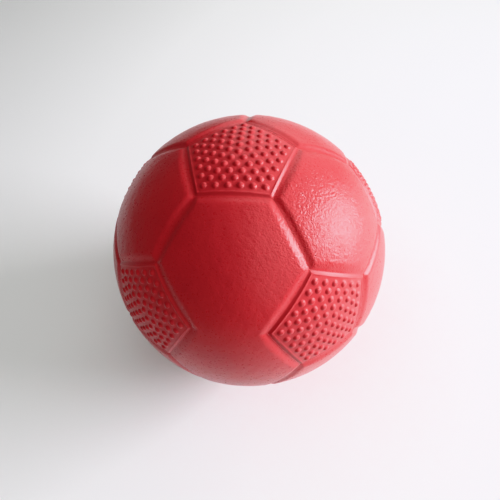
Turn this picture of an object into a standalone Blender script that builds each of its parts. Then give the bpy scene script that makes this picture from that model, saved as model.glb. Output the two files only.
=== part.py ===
"""A rubber playground ball with a football's panel pattern, built as separate solids.

The cover follows a truncated icosahedron: twelve studded five-sided panels and twenty
plain six-sided faces, two of which are one long panel at the front. Under the cover lie a
rubber carcass, a layer of wound thread and an air bladder, with a needle valve at the back.
Metres, +Z up, the origin at the ball's centre, the front towards -Y.
"""

import math

import bmesh
import bpy
from mathutils import Vector

# Driving dimensions
BALL_RADIUS = 0.108  # to the crown of a plain panel
STUD_TIP_RISE = 0.0002  # how far the stud tips stand above that crown
COVER_THICKNESS = 0.0026
CARCASS_THICKNESS = 0.0007
WINDING_THICKNESS = 0.0004
BLADDER_THICKNESS = 0.0006
LAYER_GAP = 0.0003

GROOVE_SLIT = 0.0004  # between two panels at the bottom of a groove
GROOVE_DEPTH = 0.0015
PLAIN_SHOULDER_WIDTH = 0.0036  # from the slit to where a plain panel has its full height
STUDDED_SHOULDER_WIDTH = 0.0022  # the same on a studded panel, which has a steeper side

VALVE_FACE_DROP = 0.0002  # the valve's face lies this far below the crown
VALVE_STEM_RADIUS = 0.0039
VALVE_LENGTH = 0.0125
VALVE_BORE_RADIUS = 0.0019
VALVE_EDGE = 0.0004  # chamfer round the valve's face
FLANGE_RADIUS = 0.014
FLANGE_THICKNESS = 0.0012
CORE_RADIUS = 0.0016
CORE_DROP = 0.0004  # the core's rim lies this far below the valve's face
CORE_FUNNEL_RADIUS = 0.0010
CORE_FUNNEL_DEPTH = 0.0010
CORE_EDGE = 0.0003

# How finely the round surfaces are cut into flat faces
OUTER_CUTS = 4
INNER_CUTS = 2
FACET_DIP = 0.0009  # how far a layer's flat faces lie inside its true sphere
TURNED_STEPS = 24

# Radii that follow from the dimensions
COVER_INNER_RADIUS = BALL_RADIUS - COVER_THICKNESS
LIP_RADIUS = BALL_RADIUS - GROOVE_DEPTH
STUD_TIP_RADIUS = BALL_RADIUS + STUD_TIP_RISE
CARCASS_RADIUS = COVER_INNER_RADIUS - LAYER_GAP
WINDING_RADIUS = CARCASS_RADIUS - CARCASS_THICKNESS - LAYER_GAP
BLADDER_RADIUS = WINDING_RADIUS - WINDING_THICKNESS - LAYER_GAP
FLANGE_TOP_RADIUS = BLADDER_RADIUS - BLADDER_THICKNESS - FACET_DIP

# Angles of the truncated icosahedron, from one studded panel's centre at the pole
STUDDED_RING = math.atan(2)
PLAIN_TOP_ROW = math.acos(math.sqrt((5 + 2 * math.sqrt(5)) / 15))
PLAIN_UPPER_ROW = PLAIN_TOP_ROW + math.acos(math.sqrt(5) / 3)
CORNER_REACH = math.radians(30)  # a panel's own corners are nearer to its centre than this

# Place in its row of each panel that isn't a common one, counted from the front
FRONT = 1
VALVE_PLACE = 4

# Colour and roughness of each material
MATERIALS = {
    "cover_rubber": ((0.48, 0.018, 0.022), 0.45),
    "carcass_rubber": ((0.30, 0.014, 0.016), 0.70),
    "winding_thread": ((0.72, 0.70, 0.64), 0.80),
    "bladder_butyl": ((0.025, 0.025, 0.027), 0.55),
    "valve_rubber": ((0.045, 0.045, 0.048), 0.50),
    "valve_core_rubber": ((0.10, 0.10, 0.105), 0.60),
}


def clear_scene():
    for old in list(bpy.data.objects):
        bpy.data.objects.remove(old, do_unlink=True)


def make_material(name):
    colour, roughness = MATERIALS[name]
    material = bpy.data.materials.new(name)
    material.use_nodes = True
    shader = material.node_tree.nodes["Principled BSDF"]
    shader.inputs["Base Color"].default_value = (*colour, 1)
    shader.inputs["Roughness"].default_value = roughness
    shader.inputs["Metallic"].default_value = 0
    material.diffuse_color = (*colour, 1)
    return material


def add_object(name, bm, material_name, sharp_degrees=30):
    """Turns a bmesh into an object, shaded smooth except at its sharp edges."""
    mesh = bpy.data.meshes.new(name)
    bm.to_mesh(mesh)
    bm.free()
    mesh.shade_smooth()
    mesh.set_sharp_from_angle(angle=math.radians(sharp_degrees))
    mesh.materials.append(make_material(material_name))
    added = bpy.data.objects.new(name, mesh)
    bpy.context.scene.collection.objects.link(added)
    return added


def direction(polar, azimuth):
    """The unit vector at two angles in radians, the azimuth counted from the front."""
    across = math.sin(polar)
    return Vector((across * math.sin(azimuth), -across * math.cos(azimuth), math.cos(polar)))


def row(polar, first_azimuth):
    """Five directions round the pole, the first at first_azimuth in degrees."""
    return [direction(polar, math.radians(first_azimuth + 72 * k)) for k in range(5)]


STUDDED_ROWS = {
    "top": [direction(0, 0)],
    "upper": row(STUDDED_RING, 36),
    "lower": row(math.pi - STUDDED_RING, 0),
    "bottom": [direction(math.pi, 0)],
}
PLAIN_ROWS = {
    "top": row(PLAIN_TOP_ROW, 0),
    "upper": row(PLAIN_UPPER_ROW, 0),
    "lower": row(math.pi - PLAIN_UPPER_ROW, 36),
    "bottom": row(math.pi - PLAIN_TOP_ROW, 36),
}


def all_corners():
    """The sixty corners of the pattern, each a third of the way between two studded centres."""
    centres = [c for group in STUDDED_ROWS.values() for c in group]
    return [
        (2 * a + b).normalized()
        for a in centres
        for b in centres
        if 0.01 < a.angle(b) < STUDDED_RING + 0.01
    ]


CORNERS = all_corners()


def corners_of(centre):
    """The corner directions of the panel at a centre, in order round it."""
    mine = [c for c in CORNERS if c.angle(centre) < CORNER_REACH]
    start = (mine[0] - centre * mine[0].dot(centre)).normalized()
    side = centre.cross(start)
    return sorted(mine, key=lambda c: math.atan2(c.dot(side), c.dot(start)))


def is_towards(centre, middle, joined_to):
    """True if the side with this middle is the one shared with the joined face."""
    if joined_to is None:
        return False
    return middle.normalized().dot((joined_to - centre).normalized()) > 0.9


def outline(centre, inset, joined_to=None):
    """A panel's corners on the plane that touches the unit sphere at its centre.

    Every side is moved in by the inset, an angle, apart from the side shared with the
    face that the panel is joined to. The points are given from the centre.
    """
    flat = [c / c.dot(centre) - centre for c in corners_of(centre)]
    sides = []
    for a, b in zip(flat, flat[1:] + flat[:1]):
        middle = (a + b) / 2
        own_inset = 0 if is_towards(centre, middle, joined_to) else inset
        sides.append((middle.normalized(), math.tan(math.atan(middle.length) - own_inset)))
    points = []
    for (u, du), (v, dv) in zip(sides[-1:] + sides[:-1], sides):
        c = u.dot(v)
        points.append((u * (du - c * dv) + v * (dv - c * du)) / (1 - c * c))
    return points


def ring(centre, points, share, cuts, radius):
    """Points round an outline shrunk to a share of itself, each side in equal pieces."""
    found = []
    for a, b in zip(points, points[1:] + points[:1]):
        for i in range(cuts):
            found.append((centre + a.lerp(b, i / cuts) * share).normalized() * radius)
    return found


def add_cap(bm, centre, points, radius, cuts):
    """Fills an outline with a curved cap of triangles, and returns the cap's rim."""
    inner = [bm.verts.new(centre * radius)]
    for k in range(1, cuts + 1):
        outer = [bm.verts.new(p) for p in ring(centre, points, k / cuts, k, radius)]
        for side in range(len(points)):
            for i in range(k):
                a = outer[side * k + i]
                b = outer[(side * k + i + 1) % len(outer)]
                c = inner[(side * (k - 1) + i) % len(inner)]
                bm.faces.new((a, b, c))
                if i < k - 1:
                    d = inner[(side * (k - 1) + i + 1) % len(inner)]
                    bm.faces.new((c, b, d))
        inner = outer
    return inner


def bridge(bm, fine, coarse, open_sides, side_count):
    """Joins two rims side by side with a wall, left out along the open sides."""
    per_side = len(coarse) // side_count
    step = len(fine) // len(coarse)
    for j in range(len(coarse)):
        if open_sides[j // per_side]:
            continue
        above = [fine[(j * step + i) % len(fine)] for i in range(step + 1)]
        bm.faces.new([coarse[j], coarse[(j + 1) % len(coarse)]] + above[::-1])


def add_panel_face(bm, centre, crown_radius, shoulder_width, joined_to=None):
    """One face of the cover: crown, sloping shoulder, edge wall and inner surface."""
    slit = GROOVE_SLIT / 2 / BALL_RADIUS
    crown = outline(centre, slit + shoulder_width / BALL_RADIUS, joined_to)
    edge = outline(centre, slit, joined_to)
    count = len(edge)
    pairs = zip(edge, edge[1:] + edge[:1])
    open_sides = [is_towards(centre, (a + b) / 2, joined_to) for a, b in pairs]
    crown_rim = add_cap(bm, centre, crown, crown_radius, OUTER_CUTS)
    lip = [bm.verts.new(p) for p in ring(centre, edge, 1, OUTER_CUTS, LIP_RADIUS)]
    inner_rim = add_cap(bm, centre, edge, COVER_INNER_RADIUS, INNER_CUTS)
    bridge(bm, crown_rim, lip, open_sides, count)
    bridge(bm, lip, inner_rim, open_sides, count)


def weld(bm):
    bmesh.ops.remove_doubles(bm, verts=bm.verts, dist=1e-6)


def make_panel(name, centres, crown_radius=BALL_RADIUS, shoulder_width=PLAIN_SHOULDER_WIDTH):
    """One solid panel that covers one face of the pattern, or two that are neighbours."""
    bm = bmesh.new()
    for centre in centres:
        others = [c for c in centres if c is not centre]
        joined_to = others[0] if others else None
        add_panel_face(bm, centre, crown_radius, shoulder_width, joined_to)
    weld(bm)
    bmesh.ops.recalc_face_normals(bm, faces=bm.faces)
    return add_object(name, bm, "cover_rubber")


def make_cover():
    """Every panel of the cover. Returns the one that the valve comes through."""
    for place, centres in STUDDED_ROWS.items():
        for number, centre in enumerate(centres, 1):
            name = f"studded_panel_{place}" + (f"_{number}" if len(centres) > 1 else "")
            make_panel(name, [centre], STUD_TIP_RADIUS, STUDDED_SHOULDER_WIDTH)
    front = [PLAIN_ROWS["top"][FRONT - 1], PLAIN_ROWS["upper"][FRONT - 1]]
    make_panel("double_panel_front", front)
    valve_centre = PLAIN_ROWS["upper"][VALVE_PLACE - 1]
    valve_panel = make_panel("valve_panel_back", [valve_centre])
    for place, centres in PLAIN_ROWS.items():
        for number, centre in enumerate(centres, 1):
            if centre not in front and centre != valve_centre:
                make_panel(f"plain_panel_{place}_{number}", [centre])
    return valve_panel


def make_layer(name, radius, thickness, material_name):
    """A thin ball-shaped layer under the cover, closed all round."""
    bm = bmesh.new()
    middle_radius = radius - thickness / 2
    for centre in [c for rows in (STUDDED_ROWS, PLAIN_ROWS) for r in rows.values() for c in r]:
        points = outline(centre, 0)
        add_cap(bm, centre, points, radius, INNER_CUTS)
        add_cap(bm, centre, points, radius - thickness, INNER_CUTS)
    weld(bm)
    bm.normal_update()
    for face in bm.faces:
        middle = face.calc_center_median()
        points_out = face.normal.dot(middle) > 0
        if points_out != (face.verts[0].co.length > middle_radius):
            face.normal_flip()
    return add_object(name, bm, material_name, sharp_degrees=60)


def make_turned(name, profile, material_name, axis):
    """A piece turned about the line from the ball's centre along the axis.

    The profile lists (distance from the axis, distance from the ball's centre).
    """
    bm = bmesh.new()
    verts = [bm.verts.new((x, 0, z)) for x, z in profile]
    edges = [bm.edges.new(pair) for pair in zip(verts, verts[1:] + verts[:1])]
    bmesh.ops.spin(
        bm,
        geom=verts + edges,
        cent=(0, 0, 0),
        axis=(0, 0, 1),
        angle=math.tau,
        steps=TURNED_STEPS,
        use_merge=True,
    )
    weld(bm)
    bmesh.ops.dissolve_degenerate(bm, edges=bm.edges, dist=1e-7)
    loose = [e for e in bm.edges if not e.link_faces]
    bmesh.ops.delete(bm, geom=loose, context="EDGES")
    bmesh.ops.recalc_face_normals(bm, faces=bm.faces)
    turned = add_object(name, bm, material_name)
    turned.rotation_euler = axis.to_track_quat("Z", "Y").to_euler()
    return turned


def arc(radius, start, end, count):
    """Points of a circle round the ball's centre, between two distances from the axis."""
    steps = [start + (end - start) * i / (count - 1) for i in range(count)]
    return [(x, math.sqrt(radius * radius - x * x)) for x in steps]


def make_valve_housing(axis):
    """The rubber stem that fills the hole in the cover, with its flange in the bladder."""
    face = BALL_RADIUS - VALVE_FACE_DROP
    foot = face - VALVE_LENGTH
    stem, bore = VALVE_STEM_RADIUS, VALVE_BORE_RADIUS
    under = FLANGE_TOP_RADIUS - FLANGE_THICKNESS
    profile = [(bore, face), (stem - VALVE_EDGE, face), (stem, face - VALVE_EDGE)]
    profile += arc(FLANGE_TOP_RADIUS, stem, FLANGE_RADIUS, 4)
    profile += arc(under, FLANGE_RADIUS, stem + VALVE_EDGE, 4)
    profile += [(stem, foot + VALVE_EDGE), (stem - VALVE_EDGE, foot), (bore, foot)]
    return make_turned("valve_housing", profile, "valve_rubber", axis)


def make_valve_core(axis):
    """The soft plug in the housing's bore, with a funnel that guides the needle."""
    top = BALL_RADIUS - VALVE_FACE_DROP - CORE_DROP
    foot = BALL_RADIUS - VALVE_FACE_DROP - VALVE_LENGTH + CORE_EDGE
    profile = [
        (0, foot),
        (CORE_RADIUS - CORE_EDGE, foot),
        (CORE_RADIUS, foot + CORE_EDGE),
        (CORE_RADIUS, top - CORE_EDGE),
        (CORE_RADIUS - CORE_EDGE, top),
        (CORE_FUNNEL_RADIUS, top),
        (0, top - CORE_FUNNEL_DEPTH),
    ]
    return make_turned("valve_core", profile, "valve_core_rubber", axis)


def make_valve_hole_cutter(axis):
    """A guide that cuts the valve's hole, and isn't a piece of the ball."""
    bm = bmesh.new()
    radius = VALVE_STEM_RADIUS + LAYER_GAP
    length = 4 * VALVE_LENGTH
    bmesh.ops.create_cone(
        bm,
        cap_ends=True,
        segments=TURNED_STEPS,
        radius1=radius,
        radius2=radius,
        depth=length,
    )
    cutter = add_object("valve_hole_cutter", bm, "valve_rubber")
    cutter.location = axis * BALL_RADIUS
    cutter.rotation_euler = axis.to_track_quat("Z", "Y").to_euler()
    cutter.hide_render = True
    cutter.display_type = "WIRE"
    return cutter


def cut_hole(piece, cutter):
    hole = piece.modifiers.new("valve_hole", "BOOLEAN")
    hole.operation = "DIFFERENCE"
    hole.solver = "EXACT"
    hole.object = cutter


def main():
    clear_scene()
    valve_axis = PLAIN_ROWS["upper"][VALVE_PLACE - 1]
    pierced = [
        make_cover(),
        make_layer("rubber_carcass", CARCASS_RADIUS, CARCASS_THICKNESS, "carcass_rubber"),
        make_layer("thread_winding", WINDING_RADIUS, WINDING_THICKNESS, "winding_thread"),
        make_layer("air_bladder", BLADDER_RADIUS, BLADDER_THICKNESS, "bladder_butyl"),
    ]
    cutter = make_valve_hole_cutter(valve_axis)
    for piece in pierced:
        cut_hole(piece, cutter)
    make_valve_housing(valve_axis)
    make_valve_core(valve_axis)


main()
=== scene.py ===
"""The looks of a rubber playground ball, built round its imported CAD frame.

The cover's panels are made anew as fine meshes: plain panels with rolled shoulders, and
studded panels with a thin rim and a field of small domes. Metres, +Z up, the front at -Y.
"""

import math
from functools import partial

import bmesh
import bpy
import numpy as np
from mathutils import Matrix, Vector
from mathutils.geometry import delaunay_2d_cdt


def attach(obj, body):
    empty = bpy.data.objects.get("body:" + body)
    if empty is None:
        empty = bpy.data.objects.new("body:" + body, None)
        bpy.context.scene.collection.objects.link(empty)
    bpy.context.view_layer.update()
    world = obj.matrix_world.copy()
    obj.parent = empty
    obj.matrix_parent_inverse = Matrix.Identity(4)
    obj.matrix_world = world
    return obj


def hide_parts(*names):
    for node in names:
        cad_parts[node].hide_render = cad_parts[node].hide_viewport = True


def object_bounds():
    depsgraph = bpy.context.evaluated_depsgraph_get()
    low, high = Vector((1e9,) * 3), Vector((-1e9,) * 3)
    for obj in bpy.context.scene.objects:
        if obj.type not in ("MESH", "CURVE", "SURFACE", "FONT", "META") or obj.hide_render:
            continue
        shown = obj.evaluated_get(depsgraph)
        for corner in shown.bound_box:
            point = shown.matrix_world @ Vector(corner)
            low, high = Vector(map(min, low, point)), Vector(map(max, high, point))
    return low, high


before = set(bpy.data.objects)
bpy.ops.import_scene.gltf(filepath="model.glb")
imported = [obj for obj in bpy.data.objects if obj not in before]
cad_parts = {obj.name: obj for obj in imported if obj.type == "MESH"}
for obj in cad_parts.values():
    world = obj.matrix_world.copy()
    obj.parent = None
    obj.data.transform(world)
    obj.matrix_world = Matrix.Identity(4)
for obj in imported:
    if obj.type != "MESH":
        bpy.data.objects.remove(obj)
cad_low, cad_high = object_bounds()

# The ball's sizes, from the frame
CENTRE = (cad_low + cad_high) / 2
CROWN = min(cad_high - cad_low) / 2 - 0.0001  # radius of the plain panels
STUD_TIP = CROWN + 0.0002  # radius to the tips of the studs
INNER = CROWN - 0.0024  # radius of the panels' inner side

# The grooves, measured from their middle line
GROOVE_DEPTH = 0.0015
SEAM = 0.00002  # half the gap that parts two panels
PLAIN_WALL = 0.0011, 0.0042  # where a plain panel's side starts and ends, by a plain panel
STUDDED_WALL = 0.0002, 0.0046  # and by a studded one
WALL_ROUNDING = 0.0015  # reach of the rounding at both ends of a side
WALL_PINCH = 0.65  # share of its width that a side keeps at a corner
WALL_MITRE = 6.0  # how crisply two sides meet at a corner
RIM_FOOT, RIM_TOP = 0.0003, 0.0023  # where a studded panel's side starts and ends
RIM_PINCH = 0.75  # share of its width that this side keeps at a corner
# The fine raised line round a studded field: its place, width and height
RIM_BEAD_PLACE, RIM_BEAD_WIDTH, RIM_BEAD = 0.0024, 0.00060, 0.00024
FIELD_DROP = 0.0008  # the studded field lies this far below the crown
GRAIN_LOSS = 0.45  # share of a plain panel's grain that is gone at the foot of its side
GRAIN_LOSS_DEPTH = 0.8 * GROOVE_DEPTH

# The studs
STUD_RINGS = 5
STUD_MARGIN = 0.0065  # from a groove's middle to the outer studs' middles
STUD_RADIUS = 0.00200
STUD_SEGMENTS = 16
STUD_FINISH = 0.15, 1.0  # shares of grain and satin on a studded panel
# Rings up a stud: shares of its radius and of its height
STUD_PROFILE = (
    (1.25, 0.0), (1.08, 0.04), (0.97, 0.18), (0.84, 0.43), (0.68, 0.68), (0.48, 0.87), (0.25, 0.97)
)

# The hole in the valve's panel
HOLE_RADIUS = 0.0042
HOLE_LIP = 0.0004  # from the hole's wall to the edge of the face's field
# Steps down the wall: how far each lies out from the hole's radius, and its depth
HOLE_WALL = (0.00025, 0.00002), (0.00010, 0.00010), (0.0, 0.00028), (0.0, CROWN - INNER)
HOLE_FINISH = 0.2, 0.0  # shares of grain and satin on the wall
HOLE_CUTS, HOLE_REACH = 6, 16  # rings of the field's grid: the hole's edge, and the last bent one

# How finely the meshes are cut
PLAIN_CUTS, STUDDED_CUTS = 48, 40  # pieces of a side
BORDER_RINGS = 20
PLAIN_BORDER, STUDDED_BORDER = 0.0060, 0.0036  # width of the ring-cut border
BORDER_CROWDING = 1.4  # how much closer the plain border's rings lie near the seam
INNER_STEP = 8  # outer cuts to one inner cut
SLIVER = 1e-7  # twice the area, on the flat face, under which a triangle is dropped
WELD_DISTANCE = 2e-6  # nearer points are one
SHARP_ANGLE = math.radians(55)  # steeper edges are shaded sharp

# The pattern, a truncated icosahedron standing on a studded panel
PLAIN, STUDDED = 6, 5
SOLID_RADIUS = math.sqrt(58 + 18 * math.sqrt(5)) / 4  # of the solid with edges of 1
HALF_SIDE = math.asin(0.5 / SOLID_RADIUS)
STUDDED_RING = math.atan(2)
PLAIN_TOP_ROW = math.acos(math.sqrt((5 + 2 * math.sqrt(5)) / 15))
PLAIN_UPPER_ROW = PLAIN_TOP_ROW + math.acos(math.sqrt(5) / 3)


def unit(v):
    return v / np.linalg.norm(v, axis=-1, keepdims=True)


def direction(polar, azimuth):
    across = math.sin(polar)
    return np.array([across * math.sin(azimuth), -across * math.cos(azimuth), math.cos(polar)])


def row(polar, first_azimuth):
    return [direction(polar, math.radians(first_azimuth + 72 * k)) for k in range(5)]


STUDDED_ROWS = {
    "top": [direction(0, 0)],
    "upper": row(STUDDED_RING, 36),
    "lower": row(math.pi - STUDDED_RING, 0),
    "bottom": [direction(math.pi, 0)],
}
PLAIN_ROWS = {
    "top": row(PLAIN_TOP_ROW, 0),
    "upper": row(PLAIN_UPPER_ROW, 0),
    "lower": row(math.pi - PLAIN_UPPER_ROW, 36),
    "bottom": row(math.pi - PLAIN_TOP_ROW, 36),
}
STUDDED_CENTRES = np.array([c for group in STUDDED_ROWS.values() for c in group])
PLAIN_CENTRES = np.array([c for group in PLAIN_ROWS.values() for c in group])


# One face of the pattern, seen along +Z from outside, with the middle of side 0 towards +X.
# Flat points lie on the plane that touches the unit sphere at the face's centre.


def apothem(sides):
    circumradius = math.asin(0.5 / math.sin(math.pi / sides) / SOLID_RADIUS)
    return math.atan(math.tan(circumradius) * math.cos(math.pi / sides))


def outline(sides, inset, open_side=None):
    """The corners of a face with its sides moved in by a distance, apart from an open one."""
    turns = np.arange(sides) * math.tau / sides
    normals = np.stack([np.cos(turns), np.sin(turns)], 1)
    far = np.full(sides, math.tan(apothem(sides) - inset / CROWN))
    if open_side is not None:
        far[open_side] = math.tan(apothem(sides))
    before, c = np.roll(far, 1), math.cos(math.tau / sides)
    along_before = (before - c * far) / (1 - c * c)
    along_own = (far - c * before) / (1 - c * c)
    return along_before[:, None] * np.roll(normals, 1, 0) + along_own[:, None] * normals


def ring(corners, share, cuts):
    """Points round an outline shrunk to a share of itself, each side in equal cuts."""
    steps = np.arange(cuts)[None, :, None] / cuts
    ends = np.roll(corners, -1, 0)[:, None]
    return ((corners[:, None] * (1 - steps) + ends * steps) * share).reshape(-1, 2)


def on_sphere(flat):
    return unit(np.column_stack([flat, np.ones(len(flat))]))


def side_places(points, sides, side):
    """For each direction, its distance from a side's groove and its place along it, 0 to 1."""
    turn, a = side * math.tau / sides, apothem(sides)
    outward = np.array([math.cos(turn) * math.cos(a), math.sin(turn) * math.cos(a), -math.sin(a)])
    middle = np.array([math.cos(turn) * math.sin(a), math.sin(turn) * math.sin(a), math.cos(a)])
    along = np.array([-math.sin(turn), math.cos(turn), 0.0])
    distance = np.arcsin(np.clip(-points @ outward, -1, 1)) * CROWN
    place = 0.5 + np.arctan2(points @ along, points @ middle) / (2 * HALF_SIDE)
    return distance, np.clip(place, 0, 1)


def pinch(place, kept):
    """A groove's width along a side: 1 in the middle and the kept share at the corners."""
    return kept + (1 - kept) * np.sqrt(np.sin(math.pi * place))


def smooth_step(x):
    x = np.clip(x, 0, 1)
    return x * x * (3 - 2 * x)


def ramp(x, low, high):
    """An even climb from 0 to 1 with rounded ends."""
    offsets = np.linspace(-WALL_ROUNDING, WALL_ROUNDING, 9)
    return np.mean([np.clip((x + d - low) / (high - low), 0, 1) for d in offsets], 0)


def plain_drop(points, open_side=None):
    """How far a plain face's surface lies below the crown. Even sides meet studded faces."""
    total = np.zeros(len(points))
    for side in range(PLAIN):
        if side == open_side:
            continue
        distance, place = side_places(points, PLAIN, side)
        foot, top = PLAIN_WALL if side % 2 else STUDDED_WALL
        share = 1 - ramp(distance, foot, top * pinch(place, WALL_PINCH))
        total += share**WALL_MITRE
    return GROOVE_DEPTH * np.minimum(total ** (1 / WALL_MITRE), 1)


def studded_drop(points):
    """How far a studded face's field and rim lie below the crown."""
    nearest = np.full(len(points), 1.0)
    for side in range(STUDDED):
        distance, place = side_places(points, STUDDED, side)
        nearest = np.minimum(nearest, distance / pinch(place, RIM_PINCH))
    climb = smooth_step((nearest - RIM_FOOT) / (RIM_TOP - RIM_FOOT))
    bead = RIM_BEAD * np.exp(-(((nearest - RIM_BEAD_PLACE) / RIM_BEAD_WIDTH) ** 2))
    return GROOVE_DEPTH + (FIELD_DROP - GROOVE_DEPTH) * climb - bead


class Patch:
    """Points and polygons of one face, gathered ring by ring."""

    def __init__(self):
        self.points, self.polygons, self.finish = [], [], []
        self.count = 0

    def add(self, points, finish):
        first = self.count
        self.points.append(points)
        self.finish.append(np.broadcast_to(finish, (len(points), 2)))
        self.count += len(points)
        return np.arange(first, self.count)

    def grid(self, rings, sides, start=0):
        """Triangles between concentric rings that gain a cut each, from one point at ring 0."""
        for k in range(start + 1, start + len(rings)):
            inner, outer = rings[k - 1 - start], rings[k - start]
            for side in range(sides):
                for i in range(k):
                    a, b = outer[side * k + i], outer[(side * k + i + 1) % len(outer)]
                    c = inner[(side * (k - 1) + i) % len(inner)]
                    self.polygons.append((a, b, c))
                    if i < k - 1:
                        d = inner[(side * (k - 1) + i + 1) % len(inner)]
                        self.polygons.append((c, b, d))

    def bridge(self, outer, inner, sides, open_side=None):
        """A strip of polygons between two rings. The inner one may have fewer points."""
        step, per_side = len(outer) // len(inner), len(inner) // sides
        for j in range(len(inner)):
            if j // per_side == open_side:
                continue
            fine = [outer[(j * step + i) % len(outer)] for i in range(step + 1)]
            self.polygons.append((*fine, inner[(j + 1) % len(inner)], inner[j]))

    def arrays(self):
        return np.concatenate(self.points), np.concatenate(self.finish), self.polygons


def add_border(patch, first, sides, cuts, insets, drop, finish, open_side, hole=None):
    """The ring-cut border round a face's field, then its edge and its inner side."""
    last = first
    for inset in insets[1:]:
        points = on_sphere(ring(outline(sides, inset, open_side), 1, cuts))
        rim = patch.add(points * (CROWN - drop(points))[:, None], finish(points))
        patch.bridge(rim, last, sides, open_side)
        last = rim
    inner_cuts = cuts // INNER_STEP
    edge = outline(sides, insets[-1], open_side)
    rings = [] if hole is not None else [patch.add(np.array([[0, 0, INNER]]), (0, 0))]
    for k in range(1, inner_cuts + 1):
        points = on_sphere(ring(edge, k / inner_cuts, k)) * INNER
        rings.append(patch.add(points, (0, 0)))
    if hole is not None:
        patch.bridge(hole, rings[0], 1)
    start = len(patch.polygons)
    patch.grid(rings, sides, 0 if hole is None else 1)
    patch.bridge(last, rings[-1], sides, open_side)
    patch.polygons[start:] = [p[::-1] for p in patch.polygons[start:]]  # these face inwards


def plain_finish(points, open_side=None):
    """Grain on the crown that fades on the shoulders, and no satin."""
    lost = GRAIN_LOSS * smooth_step(plain_drop(points, open_side) / GRAIN_LOSS_DEPTH)
    return np.column_stack([1 - lost, np.zeros(len(points))])


def bent_round(flat, k):
    """A ring of the grid, drawn towards a circle the nearer it is to the valve's hole."""
    share = smooth_step((k - HOLE_CUTS) / (HOLE_REACH - HOLE_CUTS))
    reach = np.linalg.norm(flat, axis=1, keepdims=True)
    round_reach = (HOLE_RADIUS + HOLE_LIP) / CROWN + reach.mean() * (1 - HOLE_CUTS / k)
    return flat * (share + (1 - share) * round_reach / reach)


def add_hole(patch, field, edge):
    """The wall of the valve's hole, from the field's inner edge down to the inner side."""
    around = unit(ring(field, HOLE_CUTS / PLAIN_CUTS, HOLE_CUTS))
    last = edge
    for beyond, depth in HOLE_WALL:
        points = on_sphere(around * (HOLE_RADIUS + beyond) / CROWN)
        loop = patch.add(points * (CROWN - depth), HOLE_FINISH)
        patch.bridge(last, loop, 1)
        last = loop
    return last


def plain_face(open_side=None, hole=False):
    """A six-sided face of the cover."""
    patch = Patch()
    insets = SEAM + (PLAIN_BORDER - SEAM) * np.linspace(1, 0, BORDER_RINGS) ** BORDER_CROWDING
    field = outline(PLAIN, insets[0], open_side)
    drop = partial(plain_drop, open_side=open_side)
    finish = partial(plain_finish, open_side=open_side)
    first = HOLE_CUTS if hole else 0
    rings = []
    for k in range(first, PLAIN_CUTS + 1):
        flat = ring(field, k / PLAIN_CUTS, k) if k else np.zeros((1, 2))
        points = on_sphere(bent_round(flat, k) if hole else flat)
        rings.append(patch.add(points * (CROWN - drop(points))[:, None], finish(points)))
    patch.grid(rings, PLAIN, first)
    wall = add_hole(patch, field, rings[0]) if hole else None
    add_border(patch, rings[-1], PLAIN, PLAIN_CUTS, insets, drop, finish, open_side, wall)
    return patch.arrays()


def stud_directions():
    """The middles of a studded face's domes: one, then rings of them like the face's outline."""
    outer = outline(STUDDED, STUD_MARGIN)
    flat = [np.zeros((1, 2))] + [ring(outer, k / STUD_RINGS, k) for k in range(1, STUD_RINGS + 1)]
    return on_sphere(np.concatenate(flat))


def circle(middle, radius):
    """Directions round a circle on the sphere, of a radius given in metres."""
    aside = unit(np.cross(middle, [0.0, 1.0, 0.0]))
    up = np.cross(middle, aside)
    turns = (np.arange(STUD_SEGMENTS) * math.tau / STUD_SEGMENTS)[:, None]
    across = np.cos(turns) * aside + np.sin(turns) * up
    return middle * math.cos(radius / CROWN) + across * math.sin(radius / CROWN)


def studded_finish(points):
    return np.broadcast_to(STUD_FINISH, (len(points), 2))


def add_studded_field(patch, border, middles):
    """The sheet between the studs, from the ring-cut border to the foot of each stud."""
    foot_radius = STUD_RADIUS * STUD_PROFILE[0][0]
    feet = np.concatenate([circle(m, foot_radius) for m in middles])
    flat = np.concatenate([border, feet[:, :2] / feet[:, 2:]])
    loops = [np.arange(len(border))]
    for first in range(len(border), len(flat), STUD_SEGMENTS):
        loops.append(np.arange(first, first + STUD_SEGMENTS))
    edges = [(int(a), int(b)) for loop in loops for a, b in zip(loop, np.roll(loop, -1))]
    found = delaunay_2d_cdt([Vector(p) for p in flat], edges, [], 0, 1e-9)
    flat = np.array([tuple(v) for v in found[0]])
    points = on_sphere(flat)
    # Slivers along the straight border are left out
    faces = [f for f in found[2] if abs(np.linalg.det(flat[list(f[1:])] - flat[f[0]])) > SLIVER]
    middle_of = unit(np.array([points[list(f)].mean(0) for f in faces]))
    nearest = np.arccos(np.clip((middle_of @ middles.T).max(1), -1, 1)) * CROWN
    placed = patch.add(points * (CROWN - studded_drop(points))[:, None], studded_finish(points))
    # Triangles inside a foot's circle are left out, because the stud stands there
    inside = foot_radius * math.cos(math.pi / STUD_SEGMENTS) * 0.98  # a little short of its edges
    patch.polygons += [tuple(placed[list(f)]) for f, d in zip(faces, nearest) if d > inside]


def add_stud(patch, middle):
    """One stud: rings up its profile, closed at the tip."""
    base = CROWN - FIELD_DROP
    last = None
    for reach, rise in STUD_PROFILE:
        points = circle(middle, STUD_RADIUS * reach)
        level = CROWN - studded_drop(points) if rise == 0 else base + (STUD_TIP - base) * rise
        radius = np.broadcast_to(level, STUD_SEGMENTS)[:, None]
        loop = patch.add(points * radius, STUD_FINISH)
        if last is not None:
            patch.bridge(last, loop, 1)
        last = loop
    tip = patch.add((middle * STUD_TIP)[None], STUD_FINISH)[0]
    patch.polygons += [(last[i - 1], last[i], tip) for i in range(STUD_SEGMENTS)]


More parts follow.
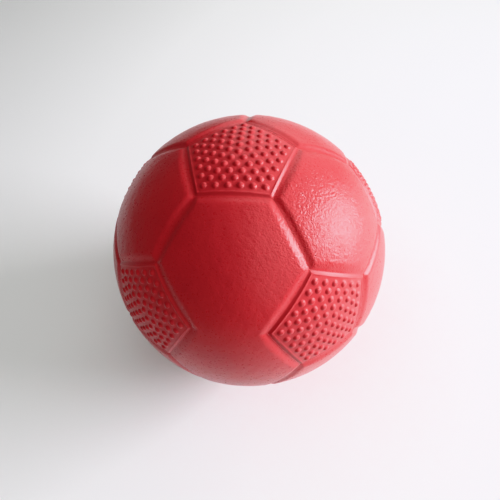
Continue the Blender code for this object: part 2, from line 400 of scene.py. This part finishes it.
def studded_face():
    """A five-sided face of the cover with its rim and studs."""
    patch = Patch()
    insets = np.linspace(STUDDED_BORDER, SEAM, BORDER_RINGS)
    border = ring(outline(STUDDED, insets[0]), 1, STUDDED_CUTS)
    middles = stud_directions()
    add_studded_field(patch, border, middles)
    points = on_sphere(border)
    rim = patch.add(points * (CROWN - studded_drop(points))[:, None], studded_finish(points))
    for middle in middles:
        add_stud(patch, middle)
    add_border(patch, rim, STUDDED, STUDDED_CUTS, insets, studded_drop, studded_finish, None)
    return patch.arrays()


def pose_of(centre, towards):
    """The matrix that takes a face from +Z to its centre, with side 0 towards a direction."""
    across = unit(towards - centre * (towards @ centre))
    return np.column_stack([across, np.cross(centre, across), centre])


def nearest_to(aim, others):
    return others[np.argmax(others @ aim)]


# Slow waves that keep the moulded surface from looking machined
WAVE_RNG = np.random.default_rng(7)
WAVE_COUNT = 40
WAVE_LENGTHS = 0.004 * 4.0 ** WAVE_RNG.random(WAVE_COUNT)  # 4 to 16 mm
WAVE_VECTORS = unit(WAVE_RNG.normal(size=(WAVE_COUNT, 3))) * (math.tau / WAVE_LENGTHS)[:, None]
WAVE_PHASES = WAVE_RNG.random(WAVE_COUNT) * math.tau
WAVE_HEIGHT = 0.00005


def waviness(points):
    return np.sin(points @ WAVE_VECTORS.T + WAVE_PHASES).sum(1) / math.sqrt(WAVE_COUNT / 2) / 2


def build_mesh(name, parts, material):
    """One object from faces given as (points, finish, polygons, pose)."""
    points, finish, polygons, first = [], [], [], 0
    for p, r, faces, pose in parts:
        placed = p @ pose.T
        lift = WAVE_HEIGHT * waviness(placed) * r[:, 0]
        points.append(placed + unit(placed) * lift[:, None])
        finish.append(r)
        polygons += [tuple(int(i) + first for i in f) for f in faces]
        first += len(p)
    mesh = bpy.data.meshes.new(name)
    mesh.from_pydata(np.concatenate(points).tolist(), [], polygons)
    finish = np.concatenate(finish)
    for i, label in enumerate(("grain", "satin")):
        layer = mesh.attributes.new(label, "FLOAT", "POINT")
        layer.data.foreach_set("value", finish[:, i].astype(np.float32))
    bm = bmesh.new()
    bm.from_mesh(mesh)
    bmesh.ops.remove_doubles(bm, verts=bm.verts, dist=WELD_DISTANCE)
    bmesh.ops.delete(bm, geom=[v for v in bm.verts if not v.link_faces], context="VERTS")
    bm.to_mesh(mesh)
    bm.free()
    mesh.shade_smooth()
    mesh.set_sharp_from_angle(angle=SHARP_ANGLE)
    mesh.materials.append(material)
    made = bpy.data.objects.new(name, mesh)
    bpy.context.scene.collection.objects.link(made)
    return made


# Materials

COARSE_SPOT = CROWN * direction(math.radians(34), math.radians(59))  # where the grain is deepest
GRAIN_DEPTH = 0.00028
COVER_DARK, COVER_LIGHT = (0.460, 0.0410, 0.0460, 1), (0.500, 0.0440, 0.0490, 1)
# Painted shade for the small pits: a dark red that stands in for the shade inside them
PAINTED_PIT_SHADE = 0.20, 0.010, 0.010, 1
# Looks of what lies under the cover: the material's name, its dark and light colour, the scale
# of its mottling, its roughness and its bump
VALVE_LOOK = (0.03, 0.03, 0.032), (0.055, 0.055, 0.058), 500.0, 0.5, 0.00005
LAYERS = {
    "rubber_carcass": ("carcass_rubber", (0.22, 0.008, 0.01), (0.3, 0.014, 0.016), 60.0, 0.7, 0.0001),
    "thread_winding": ("winding_thread", (0.6, 0.57, 0.5), (0.76, 0.73, 0.66), 300.0, 0.8, 0.0002),
    "air_bladder": ("bladder_butyl", (0.018, 0.018, 0.02), (0.032, 0.032, 0.034), 40.0, 0.55, 0.0001),
    "valve_housing": ("valve_housing_rubber", *VALVE_LOOK),
    "valve_core": ("valve_core_rubber", *VALVE_LOOK),
}


def node(tree, kind, inputs=None, **settings):
    """A shader node with its settings, and its inputs set or linked."""
    made = tree.nodes.new("ShaderNode" + kind)
    for key, value in settings.items():
        setattr(made, key, value)
    for key, value in (inputs or {}).items():
        if isinstance(value, bpy.types.NodeSocket):
            tree.links.new(value, made.inputs[key])
        else:
            made.inputs[key].default_value = value
    return made


def maths(tree, operation, a, b):
    return node(tree, "Math", {0: a, 1: b}, operation=operation).outputs[0]


def new_material(name):
    material = bpy.data.materials.new(name)
    material.use_nodes = True
    tree = material.node_tree
    return material, tree, tree.nodes["Principled BSDF"]


def remap(tree, value, low, high, to_low=0.0, to_high=1.0):
    inputs = {"Value": value, "From Min": low, "From Max": high, "To Min": to_low, "To Max": to_high}
    return node(tree, "MapRange", inputs, interpolation_type="SMOOTHSTEP").outputs[0]


def pushed_about(tree, place):
    """Places moved a little by noise, so that cells lose their straight sides."""
    noise = node(tree, "TexNoise", {"Vector": place, "Scale": 420.0, "Detail": 2.0})
    halves = {0: noise.outputs["Color"], 1: (0.5, 0.5, 0.5)}
    centred = node(tree, "VectorMath", halves, operation="SUBTRACT").outputs[0]
    push = node(tree, "VectorMath", {0: centred, "Scale": 0.0022}, operation="SCALE").outputs[0]
    return node(tree, "VectorMath", {0: place, 1: push}).outputs[0]


def grain_height(tree, place, fine):
    """The height of the leather grain, from 0 to about 2, and where its small pits are."""
    grain = node(tree, "Attribute", attribute_name="grain").outputs["Fac"]
    spot = {0: place, 1: COARSE_SPOT}
    away = node(tree, "VectorMath", spot, operation="DISTANCE").outputs["Value"]
    coarse = remap(tree, away, 0.020, 0.060, 1.0, 0.33)
    near = maths(tree, "MULTIPLY", grain, remap(tree, away, 0.020, 0.055, 1.0, 0.0))

    warped = pushed_about(tree, place)
    cells = node(tree, "TexVoronoi", {"Vector": warped, "Scale": 430.0}, feature="DISTANCE_TO_EDGE")
    creases = maths(tree, "MULTIPLY", remap(tree, cells.outputs["Distance"], 0.0, 0.30), near)
    cells = node(tree, "TexVoronoi", {"Vector": warped, "Scale": 260.0}, feature="F1")
    pits = maths(tree, "MULTIPLY", remap(tree, cells.outputs["Distance"], 0.06, 0.17, 1.0, 0.0), near)
    lumps = node(tree, "TexNoise", {"Vector": place, "Scale": 260.0, "Detail": 2.0}).outputs["Fac"]

    height = maths(tree, "MULTIPLY", creases, 0.3)
    for layer, weight in ((fine, 1.2), (lumps, 0.9), (pits, -0.6)):
        height = maths(tree, "ADD", height, maths(tree, "MULTIPLY", layer, weight))
    depth = maths(tree, "ADD", maths(tree, "MULTIPLY", grain, 0.9), 0.1)
    return maths(tree, "MULTIPLY", height, maths(tree, "MULTIPLY", depth, coarse)), pits


def cover_material():
    """Red moulded rubber with a fine crinkled leather grain and small pits, their floors darkened
    with painted shade.
    """
    material, tree, shader = new_material("cover_rubber")
    place = node(tree, "TexCoord").outputs["Object"]
    fine_settings = {"Vector": place, "Scale": 700.0, "Detail": 2.0, "Roughness": 0.6}
    fine = node(tree, "TexNoise", fine_settings).outputs["Fac"]
    height, pits = grain_height(tree, place, fine)
    bump = node(tree, "Bump", {"Height": height, "Distance": GRAIN_DEPTH, "Strength": 1.0})
    tree.links.new(bump.outputs[0], shader.inputs["Normal"])

    patches = node(tree, "TexNoise", {"Vector": place, "Scale": 28.0, "Detail": 3.0}).outputs["Fac"]
    tones = {0: remap(tree, patches, 0.3, 0.7), 6: COVER_DARK, 7: COVER_LIGHT}
    colour = node(tree, "Mix", tones, data_type="RGBA").outputs[2]
    # Painted shade: the pits' mask mixes a dark red into the cover's colour, darkening each pit's
    # floor
    shades = {0: maths(tree, "MULTIPLY", pits, 0.3), 6: colour, 7: PAINTED_PIT_SHADE}
    shaded = node(tree, "Mix", shades, data_type="RGBA").outputs[2]
    tree.links.new(shaded, shader.inputs["Base Color"])

    satin = node(tree, "Attribute", attribute_name="satin").outputs["Fac"]
    rough = maths(tree, "MULTIPLY", satin, 0.06)
    rough = maths(tree, "ADD", remap(tree, fine, 0.3, 0.7, 0.27, 0.33), rough)
    tree.links.new(rough, shader.inputs["Roughness"])
    shader.inputs["Specular IOR Level"].default_value = 0.42
    return material


def layer_material(name, dark, light, scale, roughness, bump_height):
    """A plain matte layer with a mottled colour and a fine moulded surface."""
    material, tree, shader = new_material(name)
    place = node(tree, "TexCoord").outputs["Object"]
    mottle = node(tree, "TexNoise", {"Vector": place, "Scale": scale, "Detail": 4.0}).outputs["Fac"]
    tone = remap(tree, mottle, 0.3, 0.7)
    colour = node(tree, "Mix", {0: tone, 6: (*dark, 1), 7: (*light, 1)}, data_type="RGBA")
    tree.links.new(colour.outputs[2], shader.inputs["Base Color"])
    rough = remap(tree, mottle, 0.2, 0.8, roughness - 0.08, roughness + 0.08)
    tree.links.new(rough, shader.inputs["Roughness"])
    fine = node(tree, "TexNoise", {"Vector": place, "Scale": scale * 6, "Detail": 3.0}).outputs["Fac"]
    bump = node(tree, "Bump", {"Height": fine, "Distance": bump_height, "Strength": 1.0})
    tree.links.new(bump.outputs[0], shader.inputs["Normal"])
    return material


def make_cover(material):
    """A detailed piece for every CAD panel."""
    studded, plain, pierced = studded_face(), plain_face(), plain_face(hole=True)
    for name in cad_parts:
        if name.startswith("studded_panel"):
            centre = centre_of(name)
            parts = [(*studded, pose_of(centre, nearest_to(centre, PLAIN_CENTRES)))]
        elif name.startswith(("plain_panel", "valve_panel")):
            centre = centre_of(name)
            face = pierced if name.startswith("valve") else plain
            parts = [(*face, pose_of(centre, nearest_to(centre, STUDDED_CENTRES)))]
        elif name.startswith("double_panel"):
            parts = double_parts()
        else:
            continue
        piece = build_mesh(name.replace("_panel", "_cover"), parts, material)
        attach(piece, "root")
        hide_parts(name)


def centre_of(name):
    """The direction of a regular panel's centre, from its CAD solid."""
    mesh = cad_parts[name].data
    points = np.empty(len(mesh.vertices) * 3)
    mesh.vertices.foreach_get("co", points)
    middle = unit(points.reshape(-1, 3).mean(0))
    return nearest_to(middle, np.concatenate([STUDDED_CENTRES, PLAIN_CENTRES]))


def double_parts():
    """The two faces of the long front panel, each open towards the other."""
    upper, lower = PLAIN_ROWS["top"][0], PLAIN_ROWS["upper"][0]
    parts = []
    for own, other in ((upper, lower), (lower, upper)):
        pose = pose_of(own, nearest_to(own, STUDDED_CENTRES))
        local = other @ pose
        open_side = round(math.atan2(local[1], local[0]) / (math.tau / PLAIN)) % PLAIN
        parts.append((*plain_face(open_side), pose))
    return parts


# The stage: a pale floor, pale walls, a small window low on the right and three larger soft lights

CAMERA_AZIMUTH, CAMERA_ELEVATION, CAMERA_ROLL = 10.6, 57.4, 6.3  # degrees
CAMERA_DISTANCE = 0.27
CAMERA_LENS = 22.46
CAMERA_ASIDE, CAMERA_ABOVE = 0.0006, 0.0003  # where it aims, from the ball's centre
FLOOR_SIZE = 14.0
WALLS_LOW, WALLS_HIGH = 0.28, 0.22  # strength of the walls' light

# Azimuth, elevation, distance, width, height and power of each light; degrees, metres, watts
LIGHTS = {
    "window": (97, 20, 1.0, 0.60, 0.38, 19.5),
    "overhead": (92, 58, 2.2, 2.6, 2.6, 22.0),
    "back_fill": (165, 30, 2.2, 2.0, 2.0, 16.0),
    "front_fill": (38, 35, 2.2, 1.8, 1.8, 9.0),
}
WINDOW_COLOUR = 1.0, 0.96, 1.08


def camera_basis():
    """The camera's right, up and back directions."""
    azimuth, elevation = math.radians(CAMERA_AZIMUTH), math.radians(CAMERA_ELEVATION)
    back = Vector(direction(math.pi / 2 - elevation, azimuth))
    level_right = Vector((0, 0, 1)).cross(back).normalized()
    level_up = back.cross(level_right)
    roll = math.radians(CAMERA_ROLL)
    right = level_right * math.cos(roll) - level_up * math.sin(roll)
    return right, back.cross(right), back


def make_camera():
    right, up, back = camera_basis()
    data = bpy.data.cameras.new("camera")
    data.lens, data.sensor_width = CAMERA_LENS, 36.0
    data.clip_start, data.clip_end = 0.01, 50.0
    camera = bpy.data.objects.new("camera", data)
    place = CENTRE + back * CAMERA_DISTANCE
    aim = CENTRE + right * CAMERA_ASIDE + up * CAMERA_ABOVE
    z = (place - aim).normalized()
    x = up.cross(z).normalized()
    basis = Matrix((x, z.cross(x), z)).transposed().to_4x4()
    camera.matrix_world = Matrix.Translation(place) @ basis
    bpy.context.scene.collection.objects.link(camera)
    bpy.context.scene.camera = camera


def make_area_light(name, azimuth, elevation, distance, width, height, power):
    """A softbox that faces the ball, placed by two angles in degrees."""
    towards = Vector(direction(math.radians(90 - elevation), math.radians(azimuth)))
    data = bpy.data.lights.new(name, "AREA")
    data.shape, data.size, data.size_y = "RECTANGLE", width, height
    data.energy = power
    light = bpy.data.objects.new(name, data)
    light.location = CENTRE + towards * distance
    light.rotation_euler = towards.to_track_quat("Z", "Y").to_euler()
    light.visible_camera = False
    bpy.context.scene.collection.objects.link(light)
    return light


def make_floor():
    half = FLOOR_SIZE / 2
    mesh = bpy.data.meshes.new("floor")
    z = cad_low.z
    corners = [(-half, -half, z), (half, -half, z), (half, half, z), (-half, half, z)]
    mesh.from_pydata(corners, [], [(0, 1, 2, 3)])
    material, tree, shader = new_material("floor_paint")
    shader.inputs["Base Color"].default_value = (0.86, 0.87, 0.85, 1)
    shader.inputs["Roughness"].default_value = 0.7
    mesh.materials.append(material)
    floor = bpy.data.objects.new("floor", mesh)
    bpy.context.scene.collection.objects.link(floor)


def make_world():
    """A studio's pale walls, which darken towards the ceiling."""
    world = bpy.data.worlds.new("studio")
    world.use_nodes = True
    tree = world.node_tree
    up = node(tree, "SeparateXYZ", {0: node(tree, "TexCoord").outputs["Generated"]}).outputs["Z"]
    strength = remap(tree, up, 0.1, 0.6, WALLS_LOW, WALLS_HIGH)
    tree.links.new(strength, tree.nodes["Background"].inputs["Strength"])
    tree.nodes["Background"].inputs["Color"].default_value = (1, 1, 1, 1)
    bpy.context.scene.world = world


def make_stage():
    make_camera()
    make_floor()
    make_world()
    for name, settings in LIGHTS.items():
        light = make_area_light(name, *settings)
        if name == "window":
            light.data.color = WINDOW_COLOUR
    bpy.context.scene.view_settings.view_transform = "Khronos PBR Neutral"


make_stage()
make_cover(cover_material())
for layer, look in LAYERS.items():
    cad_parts[layer].data.materials[0] = layer_material(*look)
